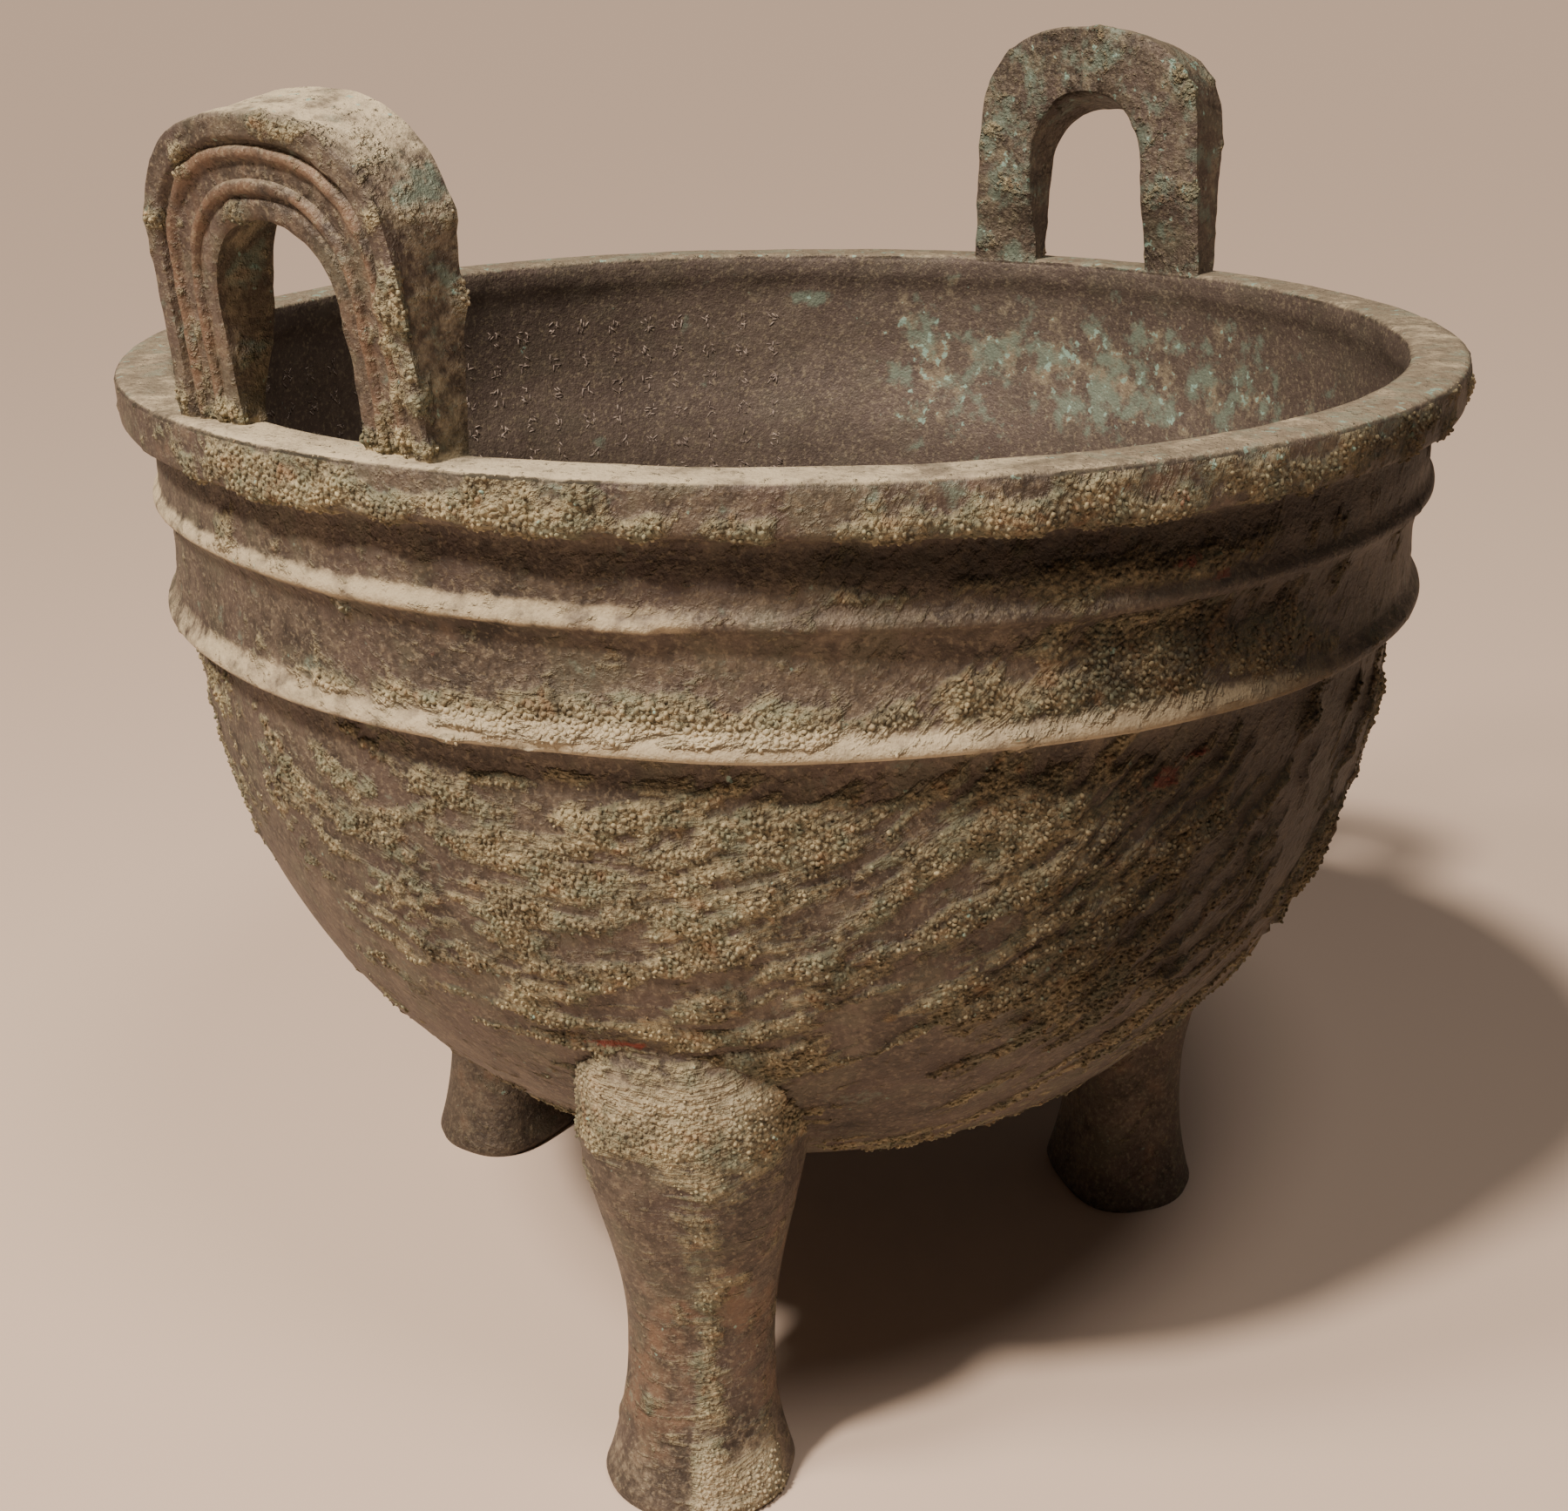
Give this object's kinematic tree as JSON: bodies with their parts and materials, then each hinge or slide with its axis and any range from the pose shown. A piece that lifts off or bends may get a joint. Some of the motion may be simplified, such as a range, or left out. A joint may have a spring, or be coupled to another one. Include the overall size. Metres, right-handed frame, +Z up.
{
  "type": "bronze ding vessel",
  "caption": "Round cast bronze cauldron standing on legs with hoof-like feet, with upright loop handles on its flat rim and raised bowstring lines round its neck.",
  "frame": {"origin": "on the floor under the middle of the bowl, at the centre of the bottom of the bounding box", "axes": "+Z up, square to the flat top of the rim; +X from the bowl's axis towards one handle, -X towards the other; -Y towards the gap between the legs beside the inscription's far side"},
  "size_m": [0.3303, 0.33, 0.333],
  "materials": {
    "bronze": "dark brown corroded cast bronze with tan and green crust"
  },
  "bodies": {
    "root": {"ding_vessel": "bronze"}
  },
  "joints": []
}
